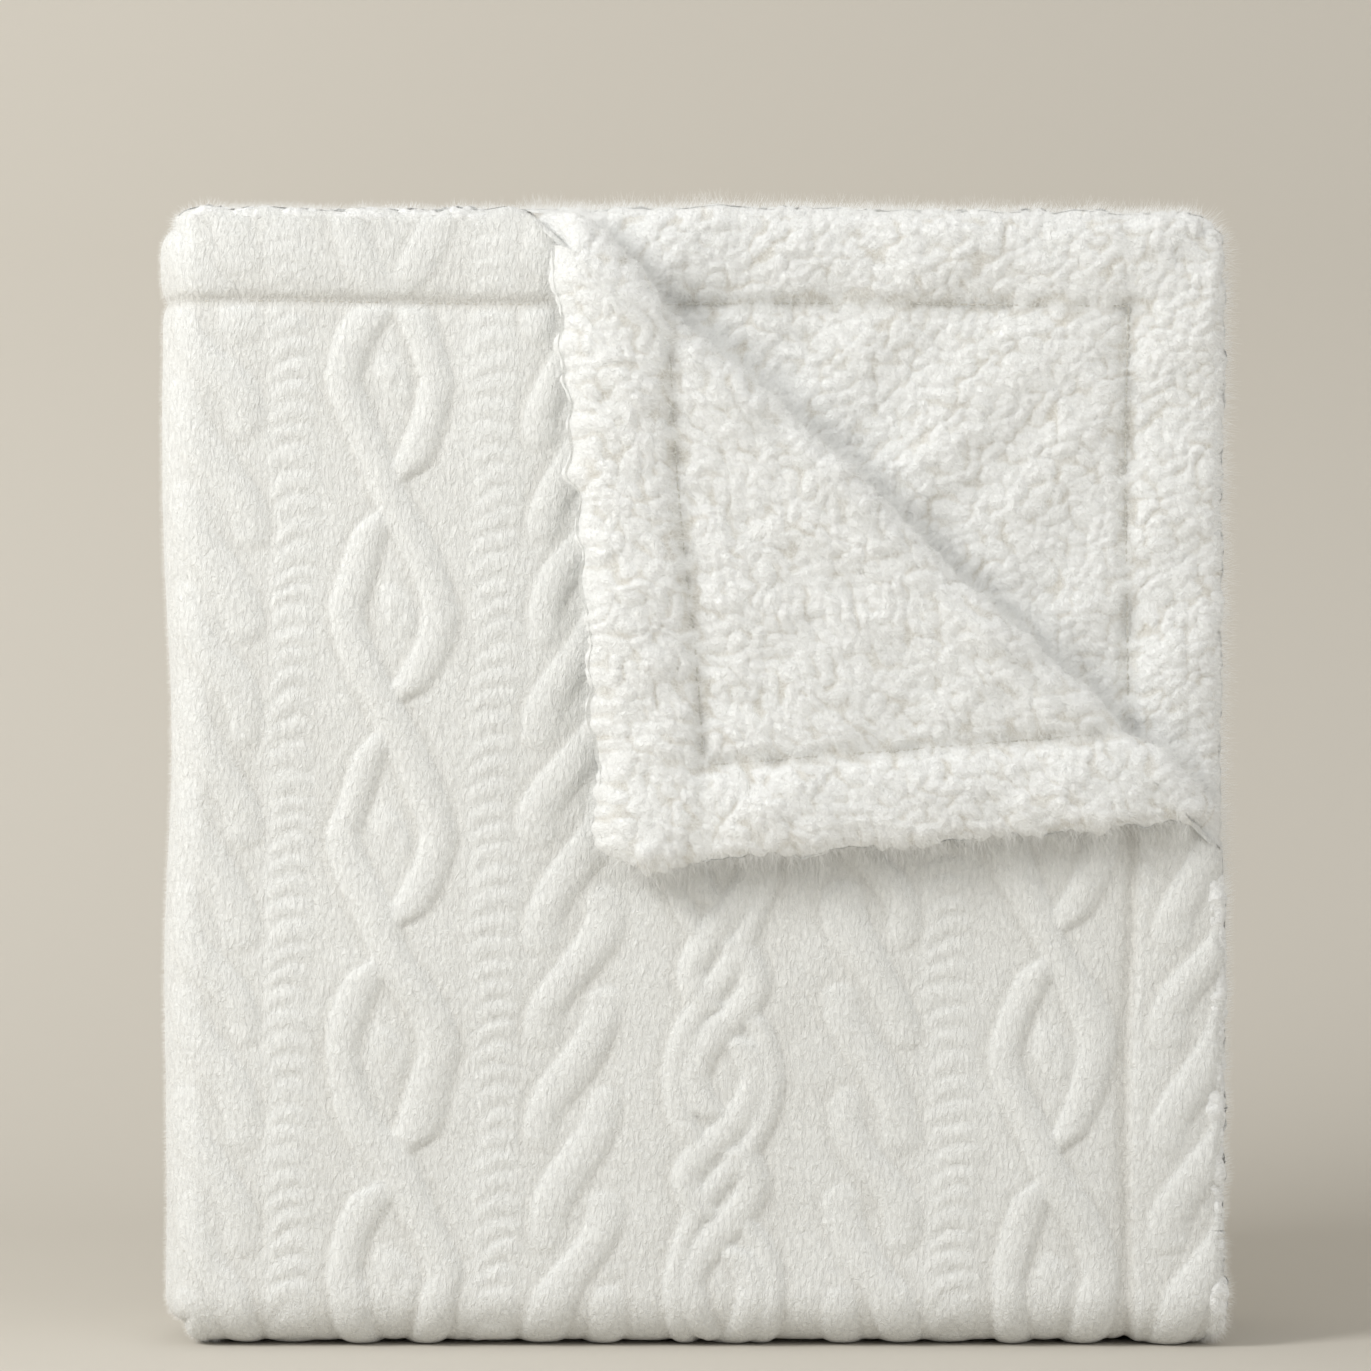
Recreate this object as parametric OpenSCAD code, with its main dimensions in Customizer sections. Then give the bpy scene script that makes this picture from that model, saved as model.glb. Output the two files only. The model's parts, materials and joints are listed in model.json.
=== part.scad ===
// Folded throw blanket, standing on its lower fold.
//
// Two cloths are sewn together around the edge: an embossed face cloth and a
// curly lining cloth. The throw is folded to a quarter of its width, then in
// three like a letter Z. That gives a front, a middle and a back section, each
// four plies thick. The top right corner of the foremost ply is turned down.
//
// X runs to the right, Y away from the viewer, Z up. The origin is at the
// middle of the base. Every piece is drawn where it lies in the folded throw.

/* [Folded size] */
// Width of the folded throw
fold_w = 405; // [350:5:500]
// Height of the folded throw
fold_h = 433; // [400:1:520]

/* [Cloth] */
// Thickness of the embossed face cloth
face_t = 2.5; // [2:0.5:3.5]
// Thickness of the curly lining cloth
lining_t = 6.5; // [5:0.5:8]

/* [Hem] */
// Distance of the stitch line from the hem edge
hem_w = 35; // [25:1:45]
// Thickness of the stitching thread
thread_t = 1.2; // [1:0.1:1.4]

/* [Turned corner] */
// Where the crease starts, measured along the top from the right edge
crease_x = 249; // [220:1:270]
// Where the crease ends, measured down the right edge from the top
crease_z = 231; // [205:1:250]
// How far the tip of the turned corner reaches from the crease
flap_reach = 169; // [150:1:175]
// Radius of the throw's corners
corner_r = 14; // [8:1:20]

/* [Clearance] */
// Gap between sections that move against each other
gap = 0.4; // [0.3:0.1:0.6]

/* [Hidden] */
$fn = 96;

// One ply is a face cloth and a lining cloth; a section is four plies
ply_t = face_t + lining_t;
section_t = 4 * ply_t;

// Front surface of each section, and the lines they turn about
total_d = ply_t + 3 * section_t + 3 * gap;
front_y = -total_d / 2 + ply_t + gap;
middle_y = front_y + section_t + gap;
back_y = middle_y + section_t + gap;
flap_axis_y = front_y - gap / 2;
bottom_axis_y = middle_y - gap / 2;
top_axis_y = back_y - gap / 2;

// Heights at which the sections meet the folds. The lower fold is tall enough
// for the turned corner to clear the floor when the front section lies down.
fold_r = section_t + gap / 2;
bottom_z = section_t + ply_t + 2 * gap;
top_z = fold_h - fold_r;
trough_r = 0.6 * section_t;

// Ends of the plies
left_x = -fold_w / 2;
right_x = fold_w / 2;
bend_x = left_x + section_t / 2;
turn_x = right_x - ply_t;

// Crease: length, direction out towards the cut corner, and slope
crease_len = sqrt(crease_x * crease_x + crease_z * crease_z);
out_x = crease_z / crease_len;
out_z = crease_x / crease_len;
crease_slope = atan2(crease_z, crease_x);
crease_mid_x = right_x - crease_x / 2;
crease_mid_z = fold_h - crease_z / 2;
// The hinge line lies one ply inside the visible crease
axis_x = crease_mid_x - ply_t * out_x;
axis_z = crease_mid_z - ply_t * out_z;
// The corner is mirrored in a line that brings its tip to the stated reach
corner_depth = crease_x * crease_z / crease_len;
mirror_shift = (corner_depth - flap_reach) / 2;
mirror_x = crease_mid_x + mirror_shift * out_x;
mirror_z = crease_mid_z + mirror_shift * out_z;

// Groove that each line of stitches lies in
groove_w = thread_t + 0.6;
groove_d = thread_t + 0.3;

face_color = [0.88, 0.87, 0.84];
lining_color = [0.86, 0.85, 0.82];
thread_color = [0.84, 0.82, 0.77];

// Depth of each layer in a section, counted from its first ply. Linings of
// plies 1 and 2 lie together, and so do those of plies 3 and 4.
function face_from(n) = [0, 2 * ply_t - face_t, 2 * ply_t, 4 * ply_t - face_t][n - 1];
function lining_from(n) = [face_t, ply_t, 2 * ply_t + face_t, 3 * ply_t][n - 1];
// Plies 1 and 2 end in hems; plies 3 and 4 turn into each other
function ply_end(n) = n < 3 ? right_x : turn_x;

// ---- placing a section ----

module in_front() {
    translate([0, front_y, 0])
        children();
}

// The middle section lies the other way round, with its first ply at the back
module in_middle() {
    translate([0, middle_y + section_t, 0])
        mirror([0, 1, 0])
            children();
}

module in_back() {
    translate([0, back_y, 0])
        children();
}

// ---- layers of a section ----

module slab(x0, x1, y0, y1, z0, z1) {
    translate([x0, y0, z0])
        cube([x1 - x0, y1 - y0, z1 - z0]);
}

module ply_face(n, z0, z1) {
    slab(bend_x, ply_end(n), face_from(n), face_from(n) + face_t, z0, z1);
}

module ply_lining(n, z0, z1) {
    y0 = lining_from(n);
    slab(bend_x, ply_end(n), y0, y0 + lining_t, z0, z1);
    if (n > 2) lining_turn(y0, z0, z1);
}

// Quarter-round end of a lining where plies 3 and 4 turn into each other
module lining_turn(y0, z0, z1) {
    intersection() {
        translate([turn_x, 3 * ply_t, z0])
            cylinder(h = z1 - z0, r = lining_t);
        slab(turn_x, right_x, y0, y0 + lining_t, z0, z1);
    }
}

// Half ring that bulges towards +X
module half_ring(r_out, r_in) {
    intersection() {
        difference() {
            circle(r_out);
            if (r_in > 0) circle(r_in);
        }
        translate([0, -r_out - 1])
            square([r_out + 1, 2 * r_out + 2]);
    }
}

// One layer of the bend along the left edge of a section
module left_bend(r_out, r_in, z0, z1) {
    translate([bend_x, 2 * ply_t, z0])
        mirror([1, 0, 0])
            linear_extrude(z1 - z0)
                half_ring(r_out, r_in);
}

// The face cloth turning from ply 3 to ply 4 along the right edge
module right_turn(z0, z1) {
    translate([turn_x, 3 * ply_t, z0])
        linear_extrude(z1 - z0)
            half_ring(ply_t, lining_t);
}

// ---- lower and upper fold ----

// Side view of the lower fold: flat foot, rounded corners, upright legs
module trough(inset, top) {
    w = fold_r - inset;
    r = max(trough_r - inset, 0.6);
    translate([-w, inset + r])
        square([2 * w, top - inset - r]);
    translate([r - w, inset])
        square([2 * (w - r), r + 1]);
    translate([r - w, inset + r])
        circle(r);
    translate([w - r, inset + r])
        circle(r);
}

// One layer of the lower fold; the innermost one is solid
module bottom_layer(from, to) {
    translate([left_x, bottom_axis_y, 0])
        rotate([90, 0, 90])
            linear_extrude(fold_w)
                difference() {
                    trough(from, bottom_z);
                    if (to < section_t) trough(to, bottom_z + 1);
                }
}

// The flat strip of face cloth that the throw stands on
module foot_strip(grow) {
    half_w = fold_r - trough_r;
    slab(left_x - grow, right_x + grow, bottom_axis_y - half_w, bottom_axis_y + half_w,
        -grow, face_t);
}

// One layer of the upper fold; the innermost one is solid
module top_layer(from, to) {
    r_in = to < section_t ? fold_r - to : 0;
    translate([left_x, top_axis_y, top_z])
        rotate([90, 0, 90])
            linear_extrude(fold_w)
                rotate(90)
                    half_ring(fold_r - from, r_in);
}

// ---- turned corner ----

// All that lies beyond the hinge line, moved out by a distance
module beyond_crease(by) {
    translate([axis_x, -total_d, axis_z])
        rotate([0, crease_slope, 0])
            translate([-fold_w, 0, by])
                cube([2 * fold_w, 2 * total_d, fold_h]);
}

// Children mirrored from the cut corner to the turned one
module turned_down() {
    translate([mirror_x, 0, mirror_z])
        mirror([out_x, 0, out_z])
            translate([-mirror_x, 0, -mirror_z])
                children();
}

// A panel of the given size whose top right corner is the throw's corner
module corner_panel(w, h, y0, y1) {
    translate([right_x, y1, fold_h])
        rotate([90, 0, 0])
            linear_extrude(y1 - y0) {
                translate([-w, -h])
                    square([w - corner_r, h]);
                translate([-w, -h])
                    square([w, h - corner_r]);
                translate([-corner_r, -corner_r])
                    circle(corner_r);
            }
}

// One layer of the turned corner
module flap_layer(y0, y1) {
    difference() {
        turned_down()
            corner_panel(crease_x + ply_t, crease_z + ply_t, y0, y1);
        beyond_crease(-gap);
    }
}

// ---- stitch lines ----

// Bars along the top and right hems, crossing at the corner
module hem_bars(y0, y1, width, z0) {
    line_x = right_x - hem_w;
    line_z = fold_h - hem_w;
    slab(bend_x + 1, line_x + width / 2, y0, y1, line_z - width / 2, line_z + width / 2);
    slab(line_x - width / 2, line_x + width / 2, y0, y1, z0, line_z + width / 2);
}

// Bar along the lower hem of the rear panel
module back_bars(y0, y1, width) {
    slab(bend_x + 1, turn_x - 1, y0, y1, hem_w - width / 2, hem_w + width / 2);
}

// ---- front section ----

// Embossed front panel, cut along the crease and grooved for the stitches
module front_ply_1_face() {
    color(face_color)
        difference() {
            in_front()
                ply_face(1, bottom_z + gap, fold_h);
            beyond_crease(0);
            hem_bars(front_y - 1, front_y + groove_d, groove_w, 0);
        }
}

module front_ply_1_lining() {
    color(lining_color)
        difference() {
            in_front()
                ply_lining(1, bottom_z + gap, fold_h);
            beyond_crease(0);
        }
}

// The curly corner that the turned ply leaves bare
module front_ply_2_lining() {
    color(lining_color)
        difference() {
            intersection() {
                in_front()
                    ply_lining(2, bottom_z + gap, fold_h);
                corner_panel(fold_w, fold_h, front_y, front_y + section_t);
            }
            intersection() {
                hem_bars(front_y, front_y + ply_t + groove_d, groove_w, 0);
                beyond_crease(0);
            }
        }
}

module front_ply_2_face() {
    color(face_color)
        intersection() {
            in_front()
                ply_face(2, bottom_z + gap, fold_h);
            corner_panel(fold_w, fold_h, front_y, front_y + section_t);
        }
}

module front_ply_3_face() {
    color(face_color)
        in_front()
            ply_face(3, bottom_z + gap, fold_h);
}

module front_ply_3_lining() {
    color(lining_color)
        in_front()
            ply_lining(3, bottom_z + gap, fold_h);
}

module front_ply_4_lining() {
    color(lining_color)
        in_front()
            ply_lining(4, bottom_z + gap, fold_h);
}

module front_ply_4_face() {
    color(face_color)
        in_front()
            ply_face(4, bottom_z + gap, fold_h);
}

module front_left_fold_face() {
    color(face_color)
        in_front()
            left_bend(2 * ply_t, 2 * ply_t - face_t, bottom_z + gap, fold_h);
}

module front_left_fold_lining() {
    color(lining_color)
        in_front()
            left_bend(2 * ply_t - face_t, ply_t, bottom_z + gap, fold_h);
}

module front_inner_fold_lining() {
    color(lining_color)
        in_front()
            left_bend(ply_t, 0, bottom_z + gap, fold_h);
}

module front_right_fold_face() {
    color(face_color)
        in_front()
            right_turn(bottom_z + gap, fold_h);
}

// ---- middle section ----

module middle_ply_1_face() {
    color(face_color)
        in_middle()
            ply_face(1, bottom_z, top_z);
}

module middle_ply_1_lining() {
    color(lining_color)
        in_middle()
            ply_lining(1, bottom_z, top_z);
}

module middle_ply_2_lining() {
    color(lining_color)
        in_middle()
            ply_lining(2, bottom_z, top_z);
}

module middle_ply_2_face() {
    color(face_color)
        in_middle()
            ply_face(2, bottom_z, top_z);
}

module middle_ply_3_face() {
    color(face_color)
        in_middle()
            ply_face(3, bottom_z, top_z);
}

module middle_ply_3_lining() {
    color(lining_color)
        in_middle()
            ply_lining(3, bottom_z, top_z);
}

module middle_ply_4_lining() {
    color(lining_color)
        in_middle()
            ply_lining(4, bottom_z, top_z);
}

module middle_ply_4_face() {
    color(face_color)
        in_middle()
            ply_face(4, bottom_z, top_z);
}

module middle_left_fold_face() {
    color(face_color)
        in_middle()
            left_bend(2 * ply_t, 2 * ply_t - face_t, bottom_z, top_z);
}

module middle_left_fold_lining() {
    color(lining_color)
        in_middle()
            left_bend(2 * ply_t - face_t, ply_t, bottom_z, top_z);
}

module middle_inner_fold_lining() {
    color(lining_color)
        in_middle()
            left_bend(ply_t, 0, bottom_z, top_z);
}

module middle_right_fold_face() {
    color(face_color)
        in_middle()
            right_turn(bottom_z, top_z);
}

// ---- back section ----

module back_ply_1_face() {
    color(face_color)
        in_back()
            ply_face(1, 0, top_z - gap);
}

module back_ply_1_lining() {
    color(lining_color)
        in_back()
            ply_lining(1, 0, top_z - gap);
}

module back_ply_2_lining() {
    color(lining_color)
        in_back()
            ply_lining(2, 0, top_z - gap);
}

module back_ply_2_face() {
    color(face_color)
        in_back()
            ply_face(2, 0, top_z - gap);
}

module back_ply_3_face() {
    color(face_color)
        in_back()
            ply_face(3, 0, top_z - gap);
}

module back_ply_3_lining() {
    color(lining_color)
        in_back()
            ply_lining(3, 0, top_z - gap);
}

module back_ply_4_lining() {
    color(lining_color)
        in_back()
            ply_lining(4, 0, top_z - gap);
}

// Embossed rear panel, grooved for the stitches of the lower hem
module back_ply_4_face() {
    color(face_color)
        difference() {
            in_back()
                ply_face(4, 0, top_z - gap);
            back_bars(total_d / 2 - groove_d, total_d / 2 + 1, groove_w);
        }
}

module back_left_fold_face() {
    color(face_color)
        in_back()
            left_bend(2 * ply_t, 2 * ply_t - face_t, 0, top_z - gap);
}

module back_left_fold_lining() {
    color(lining_color)
        in_back()
            left_bend(2 * ply_t - face_t, ply_t, 0, top_z - gap);
}

module back_inner_fold_lining() {
    color(lining_color)
        in_back()
            left_bend(ply_t, 0, 0, top_z - gap);
}

module back_right_fold_face() {
    color(face_color)
        in_back()
            right_turn(0, top_z - gap);
}

// ---- lower fold, joining the front and middle sections ----

module bottom_fold_foot() {
    color(face_color)
        foot_strip(0);
}

module bottom_fold_face() {
    color(face_color)
        difference() {
            bottom_layer(0, face_t);
            foot_strip(0);
        }
}

module bottom_fold_lining() {
    color(lining_color)
        bottom_layer(face_t, 2 * ply_t - face_t);
}

module bottom_fold_inner_face() {
    color(face_color)
        bottom_layer(2 * ply_t - face_t, 2 * ply_t + face_t);
}

module bottom_fold_inner_lining() {
    color(lining_color)
        bottom_layer(2 * ply_t + face_t, section_t - face_t);
}

module bottom_fold_core() {
    color(face_color)
        bottom_layer(section_t - face_t, section_t);
}

// ---- upper fold, joining the middle and back sections ----

module top_fold_face() {
    color(face_color)
        top_layer(0, face_t);
}

module top_fold_lining() {
    color(lining_color)
        top_layer(face_t, 2 * ply_t - face_t);
}

module top_fold_inner_face() {
    color(face_color)
        top_layer(2 * ply_t - face_t, 2 * ply_t + face_t);
}

module top_fold_inner_lining() {
    color(lining_color)
        top_layer(2 * ply_t + face_t, section_t - face_t);
}

module top_fold_core() {
    color(face_color)
        top_layer(section_t - face_t, section_t);
}

// ---- turned corner ----

// Curly side of the turned corner, grooved for the stitches
module flap_lining() {
    color(lining_color)
        difference() {
            flap_layer(front_y - gap - ply_t, front_y - gap - face_t);
            turned_down()
                hem_bars(front_y - gap - ply_t - 1, front_y - gap - ply_t + groove_d, groove_w, 0);
        }
}

// Embossed side of the turned corner, against the front panel
module flap_face() {
    color(face_color)
        flap_layer(front_y - gap - face_t, front_y - gap);
}

// Rounded edge along the crease, trimmed to the top and right edges
module flap_crease_fold() {
    color(lining_color)
        intersection() {
            translate([axis_x, flap_axis_y, axis_z])
                rotate([0, crease_slope, 0])
                    rotate([0, 90, 0])
                        linear_extrude(2 * fold_w, center = true)
                            rotate(180)
                                half_ring(ply_t, 0);
            slab(left_x, right_x, -total_d, total_d, 0, fold_h);
        }
}

// ---- stitches ----

module front_hem_stitch() {
    color(thread_color)
        difference() {
            hem_bars(front_y + groove_d - thread_t, front_y + groove_d, thread_t, bottom_z + gap + 1);
            beyond_crease(-1);
        }
}

module corner_hem_stitch() {
    color(thread_color)
        intersection() {
            hem_bars(front_y + ply_t + groove_d - thread_t, front_y + ply_t + groove_d, thread_t, 0);
            beyond_crease(1);
        }
}

module flap_hem_stitch() {
    color(thread_color)
        difference() {
            turned_down()
                hem_bars(front_y - gap - ply_t + groove_d - thread_t, front_y - gap - ply_t + groove_d,
                    thread_t, 0);
            beyond_crease(-gap - 1);
        }
}

module back_hem_stitch() {
    color(thread_color)
        back_bars(total_d / 2 - groove_d, total_d / 2 - groove_d + thread_t, thread_t);
}

// ---- drawing ----

front_ply_1_face();
front_ply_1_lining();
front_ply_2_lining();
front_ply_2_face();
front_ply_3_face();
front_ply_3_lining();
front_ply_4_lining();
front_ply_4_face();
front_left_fold_face();
front_left_fold_lining();
front_inner_fold_lining();
front_right_fold_face();
middle_ply_1_face();
middle_ply_1_lining();
middle_ply_2_lining();
middle_ply_2_face();
middle_ply_3_face();
middle_ply_3_lining();
middle_ply_4_lining();
middle_ply_4_face();
middle_left_fold_face();
middle_left_fold_lining();
middle_inner_fold_lining();
middle_right_fold_face();
back_ply_1_face();
back_ply_1_lining();
back_ply_2_lining();
back_ply_2_face();
back_ply_3_face();
back_ply_3_lining();
back_ply_4_lining();
back_ply_4_face();
back_left_fold_face();
back_left_fold_lining();
back_inner_fold_lining();
back_right_fold_face();
bottom_fold_foot();
bottom_fold_face();
bottom_fold_lining();
bottom_fold_inner_face();
bottom_fold_inner_lining();
bottom_fold_core();
top_fold_face();
top_fold_lining();
top_fold_inner_face();
top_fold_inner_lining();
top_fold_core();
flap_lining();
flap_face();
flap_crease_fold();
front_hem_stitch();
corner_hem_stitch();
flap_hem_stitch();
back_hem_stitch();
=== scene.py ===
"""Folded throw blanket: embossed face cloth, curly lining, one corner turned down."""
import json
import math
import bpy
import numpy as np
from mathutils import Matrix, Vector


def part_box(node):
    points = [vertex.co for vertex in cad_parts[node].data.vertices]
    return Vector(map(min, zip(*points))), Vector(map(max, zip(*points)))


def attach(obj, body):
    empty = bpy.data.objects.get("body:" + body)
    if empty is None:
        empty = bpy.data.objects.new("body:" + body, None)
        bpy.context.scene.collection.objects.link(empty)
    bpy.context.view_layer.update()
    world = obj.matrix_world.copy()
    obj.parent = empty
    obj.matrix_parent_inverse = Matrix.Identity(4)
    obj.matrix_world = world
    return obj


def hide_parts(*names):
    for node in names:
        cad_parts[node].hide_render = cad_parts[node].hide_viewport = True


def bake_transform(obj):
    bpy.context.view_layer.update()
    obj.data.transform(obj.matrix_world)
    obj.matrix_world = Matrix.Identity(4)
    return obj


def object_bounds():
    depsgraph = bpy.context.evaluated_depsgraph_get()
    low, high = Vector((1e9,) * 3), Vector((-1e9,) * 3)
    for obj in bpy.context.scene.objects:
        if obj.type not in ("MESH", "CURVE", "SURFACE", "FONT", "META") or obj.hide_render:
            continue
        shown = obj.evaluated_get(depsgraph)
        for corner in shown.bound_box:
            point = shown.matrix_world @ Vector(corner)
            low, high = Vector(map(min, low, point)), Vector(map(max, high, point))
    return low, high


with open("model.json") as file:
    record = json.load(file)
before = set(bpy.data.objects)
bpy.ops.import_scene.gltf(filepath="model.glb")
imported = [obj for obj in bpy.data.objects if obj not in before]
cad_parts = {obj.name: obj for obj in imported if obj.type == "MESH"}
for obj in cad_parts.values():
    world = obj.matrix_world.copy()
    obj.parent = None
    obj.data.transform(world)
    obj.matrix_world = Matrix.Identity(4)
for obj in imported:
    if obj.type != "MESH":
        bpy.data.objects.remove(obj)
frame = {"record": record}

MM = 0.001
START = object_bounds()

# ---------------------------------------------------------------- frame sizes
LOW, HIGH = np.array(START[0]), np.array(START[1])
LEFT, RIGHT, TOP = LOW[0], HIGH[0], HIGH[2]
f1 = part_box("front_ply_1_face")
f4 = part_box("front_ply_4_face")
FRONT_Y = f1[0][1]
BOTTOM_Z = f4[0][2] - 0.4 * MM
SECTION = f4[1][1] - f1[0][1]
PLY = SECTION / 4
MIDDLE_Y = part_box("middle_ply_4_face")[0][1]
BACK_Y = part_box("back_ply_1_face")[0][1]
TOP_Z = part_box("middle_ply_1_face")[1][2]
BOTTOM_AXIS_Y = (FRONT_Y + SECTION + MIDDLE_Y) / 2
TOP_AXIS_Y = (MIDDLE_Y + SECTION + BACK_Y) / 2
BEND_X = f1[0][0]
TURN_X = RIGHT - PLY
FOLD_R = SECTION + 0.2 * MM
TROUGH_R = 0.6 * SECTION
HEM = 35 * MM
ARM = PLY / 2
JOINTS = {j["name"]: j for j in frame["record"]["behaviour"]["joints"]}
FLAP = JOINTS["corner_flap_open"]
AXIS_P = np.array(FLAP["pos_m"])
ALONG = -np.array(FLAP["axis"])
OUT = np.array([-ALONG[2], 0.0, ALONG[0]])


def smooth(a, b, x):
    t = np.clip((x - a) / (b - a), 0, 1)
    return t * t * (3 - 2 * t)


# ---------------------------------------------------------------- noise
def waves(p, length, seed, n=14):
    """Smooth noise of about the given wavelength, roughly -1 to 1."""
    rng = np.random.default_rng(seed)
    d = rng.normal(size=(n, p.shape[-1]))
    d /= np.linalg.norm(d, axis=1)[:, None]
    k = 2 * math.pi / (length * rng.uniform(0.7, 1.5, n))
    ph = rng.uniform(0, 2 * math.pi, n)
    out = np.zeros(p.shape[:-1])
    for i in range(n):
        out += np.sin((p @ d[i]) * k[i] + ph[i])
    return out / math.sqrt(n) * 0.8


def warp(p):
    """Gives the stack its slack and its round corners: the same small shift for every cloth at a place."""
    out = p.copy()
    q = p * np.array([1.0, 0.45, 1.0])
    lift = smooth(0, 0.06, p[..., 2])
    out[..., 0] += 1.5 * MM * waves(q, 0.10, 1) * (0.4 + 0.6 * lift)
    out[..., 2] += 1.1 * MM * waves(q, 0.14, 2) * lift
    out[..., 1] += 1.1 * MM * waves(p * np.array([1.0, 0.2, 1.0]), 0.12, 3) * lift
    for x_side, z_side, r in ((-1, -1, 15 * MM), (-1, 1, 15 * MM), (1, -1, 9 * MM), (1, 1, 13 * MM)):
        a = np.clip((x_side * out[..., 0] - RIGHT) / r + 1, 0, None)
        b = np.clip((z_side * (out[..., 2] - TOP / 2) - TOP / 2) / r + 1, 0, None)
        k = np.where((a > 0) & (b > 0), np.maximum(a, b) / np.maximum(np.hypot(a, b), 1e-9), 1.0)
        out[..., 0] -= x_side * r * a * (1 - k)
        out[..., 2] -= z_side * r * b * (1 - k)
    out[..., 2] = np.maximum(out[..., 2], 0.1 * MM)
    return out


# ---------------------------------------------------------------- embossed pattern
PERIOD = 251.4 * MM
DIAMOND_X = -113.1 * MM
STEP = 85.2 * MM
DIAMOND_Z = 367.2 * MM
BRAID_STEP = 80.6 * MM
BRAID_Z = DIAMOND_Z - 22 * MM


def ridge(d, half, power=0.95):
    """Rounded ridge, 1 on its line and 0 at a little over half its width."""
    return np.clip(1 - (d / (1.12 * half)) ** 2, 0, 1) ** power


def strand(d, half):
    """A ridge and the wider band in which the ground dips beside it."""
    return np.stack([ridge(d, half), ridge(d, half + 3.6 * MM)])


def swing(ang, square):
    """A wave between -1 and 1, from round to zigzag."""
    t = np.mod(ang / math.pi, 2)
    return (1 - square) * np.cos(ang) + square * (2 * np.abs(t - 1) - 1)


def chain(x, z, amp, half, step, z0, gap=(0.12, 0.40), square=0.4, through=-1):
    """Two strands that wind round each other. One runs through, -1 for the falling one; the other tucks under."""
    best = np.zeros((2,) + x.shape)
    ang = math.pi * (z0 - z) / step
    for sign in (-1, 1):
        line = sign * amp * swing(ang, square)
        slope = -sign * amp * math.pi / step * (swing(ang + 0.05, square) - swing(ang - 0.05, square)) / 0.1
        tuck = smooth(-0.1, 0.1, -through * slope) * (1 - smooth(*gap, np.abs(line) / amp))
        d = np.abs(x - line) / np.sqrt(1 + slope ** 2)
        best = np.maximum(best, strand(d + tuck * half, half))
    return best


def rope(x, z, lean, half_w, tall, pitch, half, z0):
    """A column of S-shaped strokes, each tucked under the next."""
    best = np.zeros((2,) + x.shape)
    k0 = np.floor((z - z0) / pitch)
    for dk in (-1, 0, 1, 2):
        zc = z0 + (k0 + dk) * pitch
        t = np.clip((z - zc) / (tall / 2), -1, 1)
        line = lean * half_w * np.sin(t * math.pi / 2)
        slope = half_w * math.pi / tall * np.cos(t * math.pi / 2)
        d = np.abs(x - line) / np.sqrt(1 + slope ** 2)
        over = np.clip(np.abs(z - zc) - tall / 2, 0, None)
        end = 1 - 0.35 * smooth(0.55, 1.0, np.abs(z - zc) / (tall / 2))
        best = np.maximum(best, strand(np.hypot(d, over), half) * end)
    return best


def emboss(u, v):
    """Height of the face cloth, 0 to about 1, at cloth place u across and v up."""
    seam_x = RIGHT - HEM
    faint = 0.45 + 0.55 * smooth(-197 * MM, -160 * MM, u)
    u = u + 12 * MM * smooth(seam_x - 1 * MM, seam_x + 1 * MM, u)
    hem = smooth(TOP - HEM - 1 * MM, TOP - HEM + 1 * MM, v)
    v = v + 14 * MM * hem
    faint = faint * (1 - 0.5 * hem)
    p = np.stack([u, v], -1)
    u = u + 1.5 * MM * waves(p, 0.055, 11)
    v = v + 1.8 * MM * waves(p, 0.07, 12)
    x = (u - DIAMOND_X + PERIOD / 2) % PERIOD - PERIOD / 2
    ax = np.abs(x)
    h = chain(x, v, 18.6 * MM, 6.3 * MM, STEP, DIAMOND_Z)
    # the small leaf inside each diamond
    dz = (v - DIAMOND_Z + STEP / 2) % STEP - STEP / 2
    lx, lz = x - 1 * MM, dz
    a = 0.45
    px, pz = lx * math.cos(a) + lz * math.sin(a), -lx * math.sin(a) + lz * math.cos(a)
    leaf = np.clip(1 - (px / (6.2 * MM)) ** 2 - (pz / (12 * MM)) ** 2, 0, 1) * 0.85
    dimple = np.exp(-(((lx - 1.2 * MM) / (2.2 * MM)) ** 2 + ((lz + 2 * MM) / (3.6 * MM)) ** 2))
    # ladders of short ribs beside the diamonds
    rib = np.abs(np.sin(math.pi * (v - 0.16 * x + 0.04 * (ax - 39 * MM) ** 2 / MM
                                   + 0.9 * MM * waves(p, 0.02, 14)) / (8.5 * MM)))
    ladder = (0.55 * rib ** 0.8 - 0.05) * ridge(ax - 39 * MM, 8.0 * MM, 0.6)
    # ropes of slanted strokes, mirrored left and right
    strokes = rope(ax - 69 * MM, v, 1, 12.0 * MM, 50 * MM, 38.5 * MM, 6.6 * MM, DIAMOND_Z + 9 * MM)
    h = np.maximum(h, 0.92 * strokes)
    # the braid between the ropes
    b = (x % PERIOD) - PERIOD / 2
    inner = chain(b, v, 12.5 * MM, 5.6 * MM, BRAID_STEP / 2, BRAID_Z, (0.25, 0.6), 0.2, 1)
    outer_strands = chain(b, v, 19.0 * MM, 4.2 * MM, BRAID_STEP, BRAID_Z, (0.3, 0.7), 0.2, 1)
    h = np.maximum(np.maximum(h, 0.95 * inner), 0.8 * outer_strands)
    ground = 0.36 + 0.05 * waves(p, 0.03, 13) + 0.012 * waves(p, 0.006, 15)
    top = np.maximum(h[0], np.maximum(leaf - 0.5 * dimple, ladder)) * faint
    return ground + (1 - ground) * top - 0.24 * faint * np.clip(h[1] - h[0] * 1.5, 0, 1)


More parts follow.
